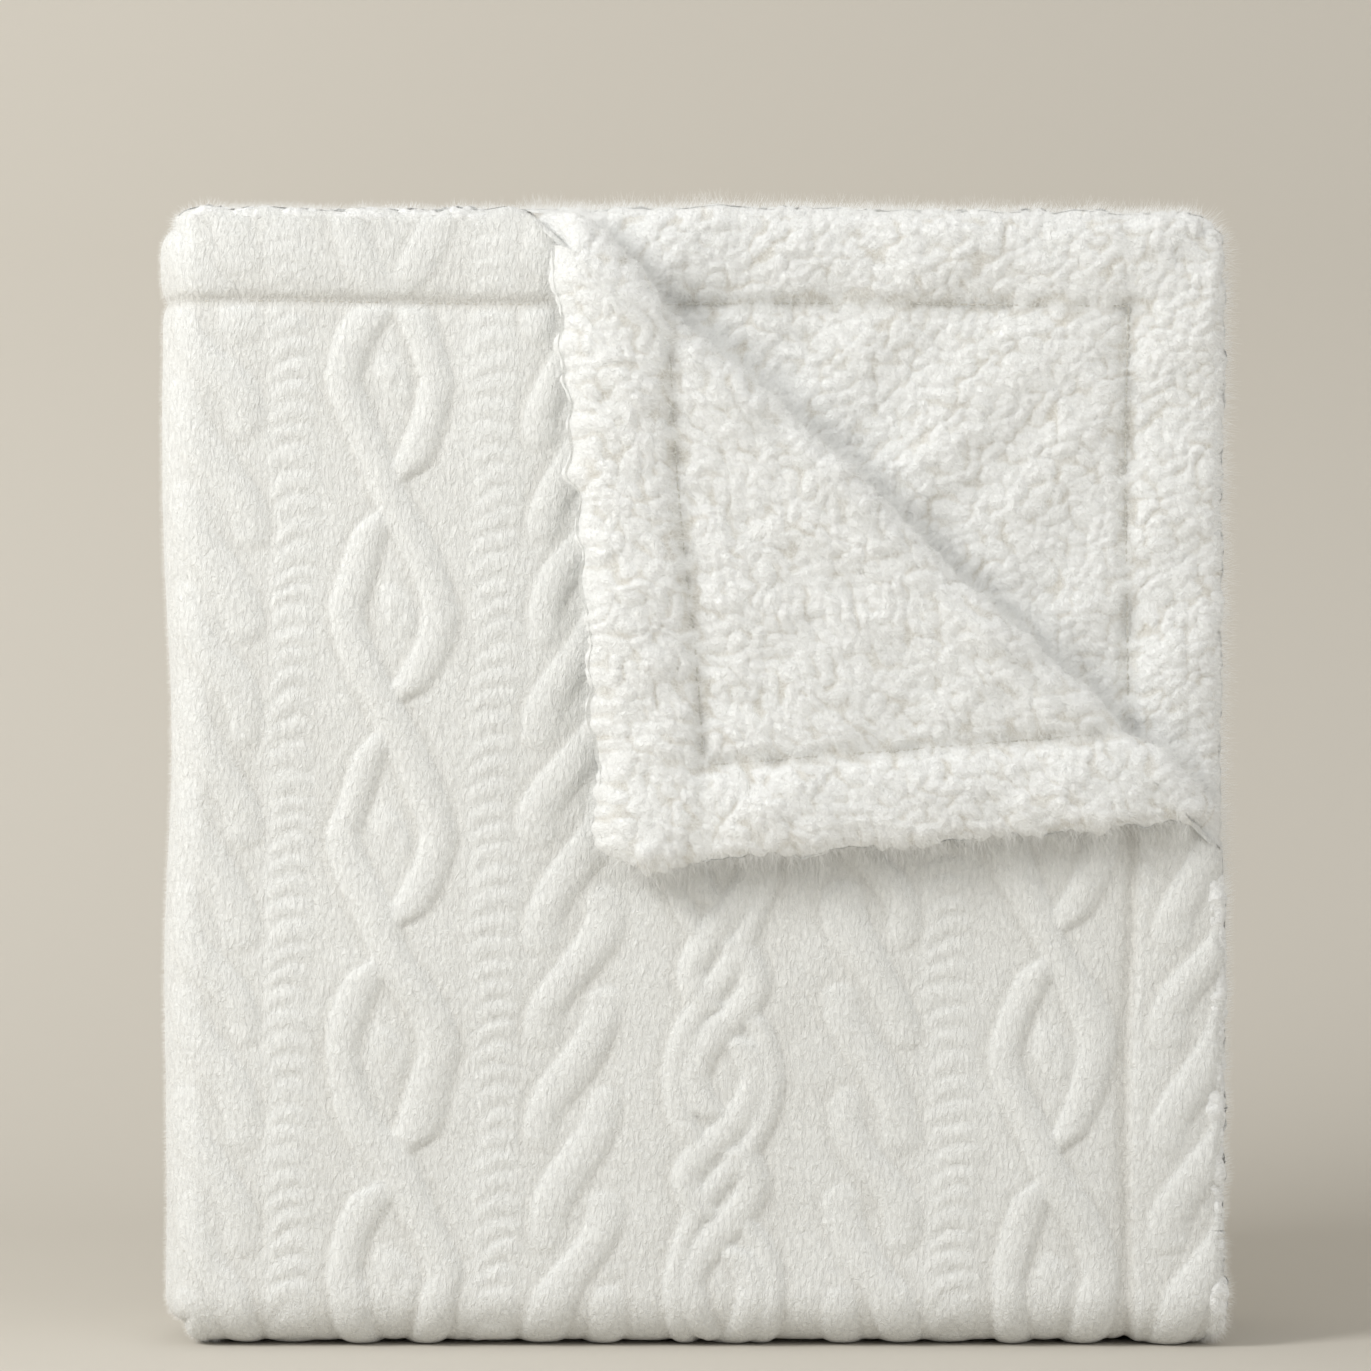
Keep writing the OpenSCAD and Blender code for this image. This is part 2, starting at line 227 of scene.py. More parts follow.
# ---------------------------------------------------------------- curls
def lumps(u, v, seed, size, turn, sharp):
    """Soft packed lumps, longer than wide and leaning by turn: about 0 between them and 1 on their tops."""
    c, s = np.cos(turn), np.sin(turn)
    i0, j0 = np.floor(u / size).astype(int), np.floor(v / size).astype(int)
    total = np.zeros(u.shape)
    for di in (-1, 0, 1):
        for dj in (-1, 0, 1):
            i, j = i0 + di, j0 + dj
            r = np.abs(np.sin(i * 127.1 + j * 311.7 + seed) * 43758.5453)
            du = u - (i + 0.1 + 0.8 * (r % 1.0)) * size
            dv = v - (j + 0.1 + 0.8 * (r * 7.13 % 1.0)) * size
            d2 = ((du * c + dv * s) / (1.02 * size)) ** 2 + ((-du * s + dv * c) / (0.76 * size)) ** 2
            total += np.exp(sharp * (0.3 * (r * 29.31 % 1.0) - d2))
    return np.clip((np.log(total) / sharp + 0.42) / 0.75, 0, 1.1)


def curls(u, v, seed, size=5.0 * MM, lean=0.7, spread=0.9):
    """Height of the lining: tufts of two sizes, 0 to 1."""
    p = np.stack([u, v], -1)
    u = u + 1.2 * MM * waves(p, 0.014, seed + 1)
    v = v + 1.2 * MM * waves(p, 0.014, seed + 3)
    turn = lean + spread * waves(p, 0.035, seed + 5)
    big = lumps(u, v, seed, size, turn, 13.0)
    small = lumps(u, v, seed + 7, size * 0.5, turn + 0.3, 9.0)
    broad = 0.5 + 0.5 * waves(p, 0.02, seed + 9)
    return np.clip(0.74 * big + 0.13 * small + 0.18 * broad, 0, 1)


# ---------------------------------------------------------------- meshes
def build(name, P, keep=None, painted_shade_height=None, outward=None):
    """A smooth grid mesh from an array of points, rows by columns, its faces turned the way outward points."""
    nu, nv = P.shape[:2]
    flip = False
    if outward is not None:
        n = np.cross(P[1:, :-1] - P[:-1, :-1], P[:-1, 1:] - P[:-1, :-1])
        flip = float((n * outward[:-1, :-1]).sum()) < 0
    idx = np.arange(nu * nv).reshape(nu, nv)
    q = np.stack([idx[:-1, :-1], idx[1:, :-1], idx[1:, 1:], idx[:-1, 1:]], -1).reshape(-1, 4)
    if keep is not None:
        q = q[keep.reshape(-1)]
    if flip:
        q = q[:, ::-1]
    used = np.unique(q)
    back = np.full(nu * nv, -1)
    back[used] = np.arange(len(used))
    q = back[q]
    v = P.reshape(-1, 3)[used]
    me = bpy.data.meshes.new(name)
    me.vertices.add(len(v))
    me.vertices.foreach_set("co", v.astype(np.float32).ravel())
    me.loops.add(q.size)
    me.loops.foreach_set("vertex_index", q.astype(np.int32).ravel())
    me.polygons.add(len(q))
    me.polygons.foreach_set("loop_start", np.arange(0, q.size, 4, dtype=np.int32))
    me.polygons.foreach_set("loop_total", np.full(len(q), 4, dtype=np.int32))
    me.polygons.foreach_set("use_smooth", np.ones(len(q), dtype=bool))
    me.update(calc_edges=True)
    # painted_shade_height is stored as the 'rise' attribute; from it the cloth materials paint shade, giving low
    # values the darker tan of hollows and seams
    if painted_shade_height is not None:
        at = me.attributes.new("rise", "FLOAT", "POINT")
        at.data.foreach_set("value", painted_shade_height.reshape(-1)[used].astype(np.float32))
    o = bpy.data.objects.new(name, me)
    bpy.context.scene.collection.objects.link(o)
    return o


def steps(a, b, size):
    return np.linspace(a, b, max(2, int(math.ceil(abs(b - a) / size)) + 1))


def graded(a, b, fine, coarse, margin, at_start=True, at_end=True):
    """Points from a to b, fine near the chosen ends and coarse between."""
    length, sign = abs(b - a), 1 if b > a else -1
    s = [0.0]
    while s[-1] < length:
        d = min(s[-1] if at_start else 1, (length - s[-1]) if at_end else 1)
        s.append(s[-1] + (fine if d < margin else min(coarse, fine + (d - margin) * 0.25)))
    s = np.array(s) * (length / s[-1])
    return a + sign * s


def line(x, inset, normal, ply, u=None):
    """Straight run of cloth at one inset from the section's front."""
    n = len(x)
    return dict(x=np.asarray(x, float), i=np.full(n, inset), nx=np.zeros(n), ni=np.full(n, normal),
                u=np.asarray(x if u is None else u, float), ply=np.full(n, ply))


def arc(cx, ci, r, a0, a1, n, sign, ply, u0, du):
    """Bend, its angle counted from the low-inset side; sign 1 if its normal points away from the centre."""
    a = np.linspace(a0, a1, n)
    side = -1 if cx < 0 else 1
    x, i = cx + side * r * np.sin(a), ci - r * np.cos(a)
    return dict(x=x, i=i, nx=sign * side * np.sin(a), ni=-sign * np.cos(a),
                u=u0 + du * (a - a0) / (a1 - a0), ply=np.full(n, ply))


def hem_end(mid, side, ply, up):
    """Rounded edge of a ply at the right: from its outer line to the middle of its thickness."""
    a = np.linspace(0, math.pi / 2 + 0.3, 8)
    if not up:
        a = a[::-1]
    x, i = RIGHT - ARM + ARM * np.sin(a), mid + side * ARM * np.cos(a)
    return dict(x=x, i=i, nx=np.sin(a), ni=side * np.cos(a), u=x, ply=np.full(8, ply))


def join(*parts):
    out = {}
    for k in parts[0]:
        out[k] = np.concatenate([p[k] if n == 0 else p[k][1:] for n, p in enumerate(parts)])
    return out


def lengths(fine, inner, edge):
    """The cloth lines across a section. The face cloth and the lining run through all four plies."""
    bend = math.pi * SECTION / 2
    n = int(bend / 2 / fine) + 2
    face_1 = join(hem_end(ARM, -1, 1, False), line(steps(RIGHT - ARM, BEND_X, fine), 0, -1, 1),
                  arc(BEND_X, SECTION / 2, SECTION / 2, 0, math.pi / 2, n, 1, 1, BEND_X, -bend / 2))
    u = BEND_X - bend / 2
    xs = steps(BEND_X, TURN_X, inner)
    face_4 = join(arc(BEND_X, SECTION / 2, SECTION / 2, math.pi / 2, math.pi, n, 1, 4, u, -bend / 2),
                  line(xs, SECTION, 1, 4, u - bend / 2 - (xs - BEND_X)),
                  arc(TURN_X, SECTION - PLY, PLY, math.pi, math.pi / 2, 10, 1, 4,
                      u - bend / 2 - (TURN_X - BEND_X), -PLY * 1.57))
    gr = graded(TURN_X, BEND_X, edge, 9 * MM, 12 * MM, True, False)
    gl = graded(BEND_X, RIGHT - ARM, edge, 9 * MM, 12 * MM, False, True)
    face_in = join(arc(TURN_X, SECTION - PLY, PLY, math.pi / 2, 0, 10, 1, 3, 2.0, 0.014),
                   line(gr, 2 * PLY, -1, 3), line(gl, 2 * PLY, 1, 2), hem_end(2 * PLY - ARM, 1, 2, True))
    gl1 = graded(RIGHT - ARM, BEND_X, edge, 9 * MM, 12 * MM, True, False)
    gt = graded(BEND_X, TURN_X + PLY * 0.5, edge, 9 * MM, 12 * MM, False, True)
    lining_out = join(hem_end(ARM, 1, 1, False), line(gl1, PLY, 1, 1),
                      arc(BEND_X, SECTION / 2, PLY, 0, math.pi, 16, -1, 1, BEND_X, -0.028),
                      line(gt, SECTION - PLY, -1, 4))
    lining_in = join(line(gt[::-1], SECTION - PLY, 1, 3),
                     arc(BEND_X, SECTION / 2, PLY, math.pi, 0, 16, 1, 3, BEND_X, 0.028),
                     line(gl, PLY, -1, 2), hem_end(PLY + ARM, -1, 2, True))
    return dict(face_1=face_1, face_4=face_4, face_in=face_in, lining_out=lining_out, lining_in=lining_in)


# ---------------------------------------------------------------- where a section lies
def at_front(x, i, z):
    return np.stack([x, FRONT_Y + i, z], -1)


def at_middle(x, i, z):
    return np.stack([x, MIDDLE_Y + SECTION - i, z], -1)


def at_back(x, i, z):
    return np.stack([x, BACK_Y + i, z], -1)


def at_bottom(x, i, s):
    """s runs from 0 at the front section, under the fold, to 1 at the middle section."""
    t = np.where(s > 0.5, 1 - s, s)
    w = FOLD_R - i
    r = np.maximum(TROUGH_R - i, 0.6 * MM)
    leg = np.clip(t / 0.26, 0, 1)
    y = -w
    z = BOTTOM_Z + (i + r - BOTTOM_Z) * leg
    a = np.clip((t - 0.26) / 0.16, 0, 1) * math.pi / 2
    y = y + r * (1 - np.cos(a))
    z = z - r * np.sin(a)
    flat = np.clip((t - 0.42) / 0.08, 0, 1)
    y = y + (w - r) * flat
    y = np.where(s > 0.5, -y, y)
    return np.stack([x, BOTTOM_AXIS_Y + y, z + 0 * x], -1)


def at_top(x, i, s):
    """s runs from 0 at the middle section, over the fold, to 1 at the back section."""
    r = 0.2 * MM + i
    a = math.pi * s
    return np.stack([x, TOP_AXIS_Y - r * np.cos(a), TOP_Z + r * np.sin(a)], -1)


def hem_rows(z_edge, inward, rows):
    """Rows that end in a rounded hem: (height, how much of the thickness is left)."""
    a = np.linspace(0, math.pi / 2, 7)
    z = z_edge + inward * (ARM - ARM * np.sin(a))
    body = rows[np.abs(rows - z_edge) > ARM + 0.2 * MM]
    zz = np.concatenate([body, z]) if abs(rows[-1] - z_edge) < ARM else np.concatenate([z[::-1], body])
    f = np.ones(len(zz))
    tip = np.cos(a)
    tip[-1] = -0.3
    if abs(rows[-1] - z_edge) < ARM:
        f[-7:] = tip
    else:
        f[:7] = tip[::-1]
    return zz, f


def seam_dip(d):
    return 0.85 * np.exp(-((d / (2.6 * MM)) ** 2)) + 0.28 * np.exp(-((d / (8 * MM)) ** 2))


def soft_dip(d):
    """A seam buried in the lining's curls: wider and shallower than on the face cloth."""
    return 0.80 * np.exp(-((d / (3.4 * MM)) ** 2)) + 0.30 * np.exp(-((d / (9 * MM)) ** 2))


def crossed_seams(A, B, through):
    """Two hem seams near a corner, A and B in from its edges: one runs through, the other ends on it."""
    a_on, b_on = smooth(HEM - 6 * MM, HEM, B), smooth(HEM - 6 * MM, HEM, A)
    if through == "A":
        a_on = 0.6 + 0.4 * a_on
    else:
        b_on = 0.6 + 0.4 * b_on
    return np.maximum(soft_dip(A - HEM) * a_on, soft_dip(B - HEM) * b_on)


def puffed(d):
    """How far a hem band swells between its seam, at 0, and its edge."""
    return np.sin(math.pi * np.clip(d / HEM, 0, 1)) ** 0.7


def crease_side(x, z):
    """Distance past the hinge line of the turned corner; more than 0 is the part that was turned."""
    return (x - AXIS_P[0]) * OUT[0] + (z - AXIS_P[2]) * OUT[2]


FACE_RISE = 2.7 * MM
FACE_BASE = 2.0 * MM
CURL_RISE = 2.8 * MM
CURL_BASE = 1.7 * MM
LINING_SEED = 40
CORNER_ROUND = 14 * MM
TURNED_REACH = 169 * MM


def touching(inside):
    """The cells of a grid that have a corner inside."""
    return inside[:-1, :-1] | inside[1:, :-1] | inside[1:, 1:] | inside[:-1, 1:]


def fringe_of(x, z, ply=1):
    """How far the tufts stand out along a hem's edge: a little further on the plies behind."""
    q = np.stack([x, z, 0.02 * (ply + 0 * x)], -1)
    return 0.9 * MM + 0.9 * MM * waves(q, 0.02, 5) + 0.8 * MM * waves(q, 0.009, 6) + 0.5 * MM * (ply > 1)


def cloth(name, curve, rows, left_rows, place, v_of, kind, cut=None, hem_z=0, seams=()):
    """One run of cloth: a curve across the section, repeated at every row."""
    X = np.repeat(curve["x"][:, None], len(rows), 1)
    I = np.repeat(curve["i"][:, None], len(rows), 1)
    NX = np.repeat(curve["nx"][:, None], len(rows), 1)
    NI = np.repeat(curve["ni"][:, None], len(rows), 1)
    U = np.repeat(curve["u"][:, None], len(rows), 1)
    ply = np.repeat(curve["ply"][:, None], len(rows), 1)
    R = np.repeat(rows[None, :], len(curve["x"]), 0)
    F = np.repeat(left_rows[None, :], len(curve["x"]), 0)
    V = v_of(R)
    inside = None
    if cut is not None:
        past = cut(X, R, ply)
        inside = past <= 0
        step = np.clip(past, 0, None)
        X, R = X - step * OUT[0], R - step * OUT[2]
    if kind == "face":
        h = emboss(U, V)
        rise, base = FACE_RISE, FACE_BASE
    else:
        h = curls(U, V, LINING_SEED)
        rise, base = CURL_RISE, CURL_BASE
    dip = np.zeros_like(h)
    for s in seams:
        dip = np.maximum(dip, seam_dip(s(X, R, ply)))
    puff = np.zeros_like(h)
    for s in seams:
        puff = np.maximum(puff, puffed(s(X, R, ply)))
    lift = (rise * h - base) * (1 - 0.75 * np.clip(dip, 0, 1)) - dip * 2.2 * MM + 1.5 * MM * puff
    # both cloths meet at the middle of a hem's edge
    edge = np.sqrt(np.clip(1 - F ** 2, 0, 1))
    side = np.where((X > RIGHT - ARM) & (ply < 3), np.clip(NX, 0, 1), 0)
    rim = np.maximum(edge, side) ** 2
    fringe = fringe_of(X, R, ply)
    lift = lift * (1 - rim) + fringe * rim
    off = (ARM + lift) * F - ARM
    X2, I2 = X + NX * off, I + NI * off
    R2 = R + edge * lift * hem_z
    P = warp(place(X2, I2, R2))
    outward = place(X2 + NX * MM, I2 + NI * MM, R2) - place(X2, I2, R2)
    keep = None if inside is None else touching(inside)
    # painted shade: the relief height, pressed down along the seams, darkens the hollows and seam grooves
    return build(name, P, keep, np.clip(h * (1 - 0.9 * np.clip(dip, 0, 1)), 0, 1), outward)


def tufted_edge(name, centre, outward, seed):
    """A line of lining tufts where the two cloths meet at a hem's edge."""
    far = np.concatenate([[0], np.cumsum(np.linalg.norm(np.diff(centre, axis=0), axis=1))])
    at = np.linspace(0, far[-1], int(far[-1] / (1.25 * MM)))
    centre = np.stack([np.interp(at, far, centre[:, k]) for k in range(3)], -1)
    along = np.gradient(centre, axis=0)
    along /= np.linalg.norm(along, axis=1)[:, None]
    out = np.broadcast_to(outward, centre.shape) - along * (along @ np.asarray(outward, float))[:, None]
    out = out / np.linalg.norm(out, axis=1)[:, None]
    third = np.cross(along, out)
    g = np.linspace(0, 2 * math.pi, 17)[None, :]
    s = np.concatenate([[0], np.cumsum(np.linalg.norm(np.diff(centre, axis=0), axis=1))])[:, None]
    h = curls(s + 0 * g, seed + g * ARM + 0 * s, 120, 4.4 * MM, 0.3, 1.2)
    uneven = waves(np.stack([s + 0 * g, seed + 0 * s + 0 * g], -1), 0.02, 121)
    taper = np.clip(np.minimum(s, s[-1] - s) / (6 * MM), 0.02, 1) ** 0.5
    r = (0.60 * ARM + 2.6 * MM * h + 0.7 * MM * uneven) * taper
    shift = 1.9 * MM
    side = np.cos(g)[..., None] * out[:, None, :] + np.sin(g)[..., None] * third[:, None, :]
    P = centre[:, None, :] + shift * out[:, None, :] + r[..., None] * side
    # painted shade between the tufts: the lower parts of the relief get a darker tone
    return build(name, warp(P), None, 0.25 + 0.75 * h, side)


# ---------------------------------------------------------------- materials
def fabric(name, high, low, sheen, kind):
    m = bpy.data.materials.new(name)
    m.use_nodes = True
    nt = m.node_tree
    b = nt.nodes["Principled BSDF"]
    b.inputs["Roughness"].default_value = 0.95
    b.inputs["Sheen Weight"].default_value = sheen
    b.inputs["Sheen Roughness"].default_value = 0.45
    b.inputs["Sheen Tint"].default_value = (1.0, 0.98, 0.95, 1)
    b.inputs["Specular IOR Level"].default_value = 0.15
    co = nt.nodes.new("ShaderNodeTexCoord")
    stretch = nt.nodes.new("ShaderNodeMapping")
    stretch.inputs["Scale"].default_value = (1.0, 1.0, 0.45) if kind == "face" else (1, 1, 1)
    nt.links.new(co.outputs["Object"], stretch.inputs["Vector"])
    fine = nt.nodes.new("ShaderNodeTexNoise")
    fine.inputs["Scale"].default_value = 620 if kind == "face" else 560
    fine.inputs["Detail"].default_value = 4
    fine.inputs["Roughness"].default_value = 0.65
    fine.inputs["Distortion"].default_value = 0.6
    nt.links.new(stretch.outputs["Vector"], fine.inputs["Vector"])
    broad = nt.nodes.new("ShaderNodeTexNoise")
    broad.inputs["Scale"].default_value = 70
    broad.inputs["Detail"].default_value = 3
    nt.links.new(co.outputs["Object"], broad.inputs["Vector"])
    # painted shade: the 'rise' attribute runs this ramp from the low colour, a darker warm tan laid into the
    # hollows of the relief and along seams, up to the high colour, the cloth's own
    rise = nt.nodes.new("ShaderNodeAttribute")
    rise.attribute_name = "rise"
    painted_shade_ramp = nt.nodes.new("ShaderNodeValToRGB")
    painted_shade_ramp.color_ramp.elements[0].position = 0.0
    painted_shade_ramp.color_ramp.elements[0].color = (*low, 1)
    painted_shade_ramp.color_ramp.elements[1].position = 0.42 if kind == "face" else 0.35
    painted_shade_ramp.color_ramp.elements[1].color = (*high, 1)
    nt.links.new(rise.outputs["Fac"], painted_shade_ramp.inputs["Fac"])
    tone = nt.nodes.new("ShaderNodeMix")
    tone.data_type = "RGBA"
    tone.blend_type = "MULTIPLY"
    tone.inputs["Factor"].default_value = 1.0
    shade = nt.nodes.new("ShaderNodeMapRange")
    shade.inputs["From Min"].default_value = 0.3
    shade.inputs["From Max"].default_value = 0.7
    shade.inputs["To Min"].default_value = 0.86 if kind == "face" else 0.92
    shade.inputs["To Max"].default_value = 1.0
    nt.links.new(fine.outputs["Fac"], shade.inputs["Value"])
    nt.links.new(painted_shade_ramp.outputs["Color"], tone.inputs["A"])
    nt.links.new(shade.outputs["Result"], tone.inputs["B"])
    nt.links.new(tone.outputs["Result"], b.inputs["Base Color"])
    bump = nt.nodes.new("ShaderNodeBump")
    bump.inputs["Strength"].default_value = 0.8
    bump.inputs["Distance"].default_value = 0.0016
    add = nt.nodes.new("ShaderNodeMath")
    add.operation = "MULTIPLY_ADD"
    add.inputs[1].default_value = 0.5
    nt.links.new(broad.outputs["Fac"], add.inputs[0])
    nt.links.new(fine.outputs["Fac"], add.inputs[2])
    nt.links.new(add.outputs["Value"], bump.inputs["Height"])
    nt.links.new(bump.outputs["Normal"], b.inputs["Normal"])
    return m


# for the face cloth and the lining the second colour is painted shade, the darker tan laid into hollows and
# seams; the first is the cloth's own colour
FACE_MAT = fabric("face_cloth", (0.865, 0.875, 0.855), (0.74, 0.735, 0.70), 0.35, "face")
LINING_MAT = fabric("lining_cloth", (0.95, 0.96, 0.95), (0.76, 0.735, 0.67), 0.3, "lining")
THREAD_MAT = fabric("thread", (0.80, 0.79, 0.75), (0.70, 0.68, 0.62), 0.1, "lining")


def fibre(name, colour):
    """Pile fibres: light passes on through them, so they don't darken the cloth."""
    m = bpy.data.materials.new(name)
    m.use_nodes = True
    nt = m.node_tree
    nt.nodes.remove(nt.nodes["Principled BSDF"])
    lit = nt.nodes.new("ShaderNodeBsdfDiffuse")
    through = nt.nodes.new("ShaderNodeBsdfTranslucent")
    both = nt.nodes.new("ShaderNodeAddShader")
    lit.inputs["Color"].default_value = (*[c * 0.62 for c in colour], 1)
    through.inputs["Color"].default_value = (*[c * 0.38 for c in colour], 1)
    nt.links.new(lit.outputs["BSDF"], both.inputs[0])
    nt.links.new(through.outputs["BSDF"], both.inputs[1])
    nt.links.new(both.outputs["Shader"], nt.nodes["Material Output"].inputs["Surface"])
    return m


CLOTH_MAT = {"face": FACE_MAT, "lining": LINING_MAT}
PILE_MAT = fibre("pile", (0.98, 0.985, 0.975))


def flat_cells(A, B, keep):
    """Width, height and area of the kept cells of a flat grid."""
    used = np.zeros(A.shape, bool)
    used[:-1, :-1] |= keep
    area = (np.abs(np.diff(A, axis=0))[:, :-1] * np.abs(np.diff(B, axis=1))[:-1, :])[keep].sum()
    return (float(np.ptp(A[used])), float(np.ptp(B[used]))), float(area)


def finish_piece(o, mat, slot, body, nodes, flat=None, area=None):
    o.data.materials.append(mat)
    if body is not None:
        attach(o, body)
    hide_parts(*nodes)


def pile(o, per_m2, length, radius, loose, where=None):
    """Short fibres that stand on a piece, on the part of it that shows."""
    me = o.data
    co = np.empty(len(me.vertices) * 3, np.float32)
    me.vertices.foreach_get("co", co)
    co = co.reshape(-1, 3)
    shows = np.ones(len(co), bool) if where is None else where(co)
    corner_of = np.empty(len(me.loops), np.int32)
    me.loops.foreach_get("vertex_index", corner_of)
    size = np.empty(len(me.polygons), np.float32)
    me.polygons.foreach_get("area", size)
    area = float(size[shows[corner_of.reshape(-1, 4)].mean(1) > 0.5].sum())
    if area < 1e-5:
        return
    o.modifiers.new("pile", "PARTICLE_SYSTEM")
    ps = o.particle_systems[-1]
    ps.seed = len(o.name) * 7 + 3
    if where is not None:
        group = o.vertex_groups.new(name="pile")
        group.add([int(k) for k in np.nonzero(shows)[0]], 1.0, "REPLACE")
        ps.vertex_group_density = "pile"
    st = ps.settings
    st.type = "HAIR"
    o.data.materials.append(PILE_MAT)
    st.material = len(o.data.materials)
    st.use_advanced_hair = True
    st.count = max(1, int(area * per_m2))
    st.hair_step = 3
    st.display_step = 2
    st.render_step = 2
    st.emit_from = "FACE"
    st.distribution = "RAND"
    st.use_emit_random = True
    st.use_even_distribution = True
    st.hair_length = length
    st.normal_factor = length / 4
    st.factor_random = loose / 4
    st.object_align_factor = (0.0, 0.0, -length * 0.04)
    st.radius_scale = 1.0
    st.root_radius = radius
    st.tip_radius = radius * 0.35
    st.shape = -0.3


# ---------------------------------------------------------------- sections and folds
top_seam = lambda X, R, ply: R - (TOP - HEM)
right_seam = lambda X, R, ply: np.where(ply < 3, X - (RIGHT - HEM), 1.0)
low_seam = lambda X, R, ply: R - HEM
trough_len = 0.097


def turned(X, R, ply):
    return np.where(ply == 1, crease_side(X, R), -1.0)


def bared(X, R, ply):
    return np.where(ply == 2, crease_side(X, R) + 12 * MM, -1.0)


ZONES = {
    "front": dict(place=at_front, v=lambda z: z, body="front_section", z=(BOTTOM_Z, TOP), hem="top"),
    "middle": dict(place=at_middle, v=lambda z: BOTTOM_Z - trough_len - (z - BOTTOM_Z), body="middle_section",
                   z=(BOTTOM_Z, TOP_Z), hem=None),
    "back": dict(place=at_back, v=lambda z: BOTTOM_Z - trough_len - 0.351 - 0.113 + (z - TOP_Z),
                 body="back_section", z=(0.0, TOP_Z - 0.4 * MM), hem="low"),
}
NODES_OF = {
    "face_1": ["ply_1_face"],
    "face_4": ["ply_4_face", "left_fold_face", "right_fold_face"],
    "face_in": ["ply_2_face", "ply_3_face"],
    "lining_out": ["ply_1_lining", "ply_4_lining", "left_fold_lining"],
    "lining_in": ["ply_2_lining", "ply_3_lining", "inner_fold_lining"],
}
GRAIN = 1.35


def run_length(curve):
    return float(np.hypot(np.diff(curve["x"]), np.diff(curve["i"])).sum())


def cut_off(curve, rows, cut):
    """Area that a cut takes away from a run of cloth."""
    X, R = np.repeat(curve["x"][:, None], len(rows), 1), np.repeat(rows[None, :], len(curve["x"]), 0)
    gone = cut(X, R, np.repeat(curve["ply"][:, None], len(rows), 1)) > 0
    step = np.hypot(np.diff(curve["x"]), np.diff(curve["i"]))[:, None] * np.abs(np.diff(rows))[None, :]
    return float(step[gone[1:, 1:]].sum())


for zone, spec in ZONES.items():
    runs = lengths(GRAIN * MM, 1.9 * MM, 1.6 * MM)
    z0, z1 = spec["z"]
    for run, curve in runs.items():
        if run in ("face_1", "face_4"):
            rows = steps(z0, z1, GRAIN * MM)
        else:
            rows = graded(z0, z1, 1.6 * MM, 2.6 * MM, 14 * MM, spec["hem"] == "low", spec["hem"] == "top")
        left = np.ones(len(rows))
        seams = [right_seam]
        hem_z = 0
        if spec["hem"] == "top":
            rows, left = hem_rows(z1, -1, rows)
            seams.append(top_seam)
            hem_z = 1
        elif spec["hem"] == "low":
            rows, left = hem_rows(z0, 1, rows)
            seams.append(low_seam)
            hem_z = -1
        cut = None
        if zone == "front":
            cut = turned if run in ("face_1", "lining_out") else bared if run == "lining_in" else None
        kind = "face" if run.startswith("face") else "lining"
        o = cloth(f"{zone}_{run}", curve, rows, left, spec["place"], spec["v"], kind, cut, hem_z, seams)
        nodes = [f"{zone}_{n}" for n in NODES_OF[run]]
        flat = (run_length(curve), z1 - z0)
        area = flat[0] * flat[1] - (cut_off(curve, rows, cut) if cut else 0)
        finish_piece(o, CLOTH_MAT[kind], kind + "_cloth", spec["body"], nodes, flat, area)

edges = []


def add_edge(name, centre, outward, body, node, ends=None):
    if len(centre) < 5:
        return
    o = tufted_edge(name, centre, outward, 0.013 * len(edges) + 0.002)
    finish_piece(o, LINING_MAT, "lining_cloth", body, [node])
    if ends is not None:
        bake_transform(o)
    edges.append(o)


for zone, spec in ZONES.items():
    runs = lengths(GRAIN * MM, 1.3 * MM, 1.3 * MM)
    z0, z1 = spec["z"]
    if spec["hem"]:
        z, up = (z1 - ARM, 1) if spec["hem"] == "top" else (z0 + ARM, -1)
        for run in ("face_1", "face_4", "face_in"):
            c = runs[run]
            X, I = c["x"] - c["nx"] * ARM, c["i"] - c["ni"] * ARM
            if zone == "front" and run == "face_1":
                here = crease_side(X, z1) < -4 * MM
                X, I = X[here], I[here]
            hem_line = spec["place"](X, I, np.full(len(X), z))
            add_edge(f"{zone}_hem_{run}", hem_line, (0, 0, up), spec["body"], f"{zone}_{NODES_OF[run][0]}")
    for ply in (1, 2):
        z = steps(z0, z1, 1.25 * MM)
        if zone == "front" and ply == 1:
            z = z[crease_side(RIGHT, z) < -3 * MM]
        side_line = spec["place"](np.full(len(z), RIGHT - ARM), np.full(len(z), (ply - 0.5) * PLY), z)
        add_edge(f"{zone}_side_edge_{ply}", side_line, (1, 0, 0), spec["body"], f"{zone}_ply_{ply}_lining")

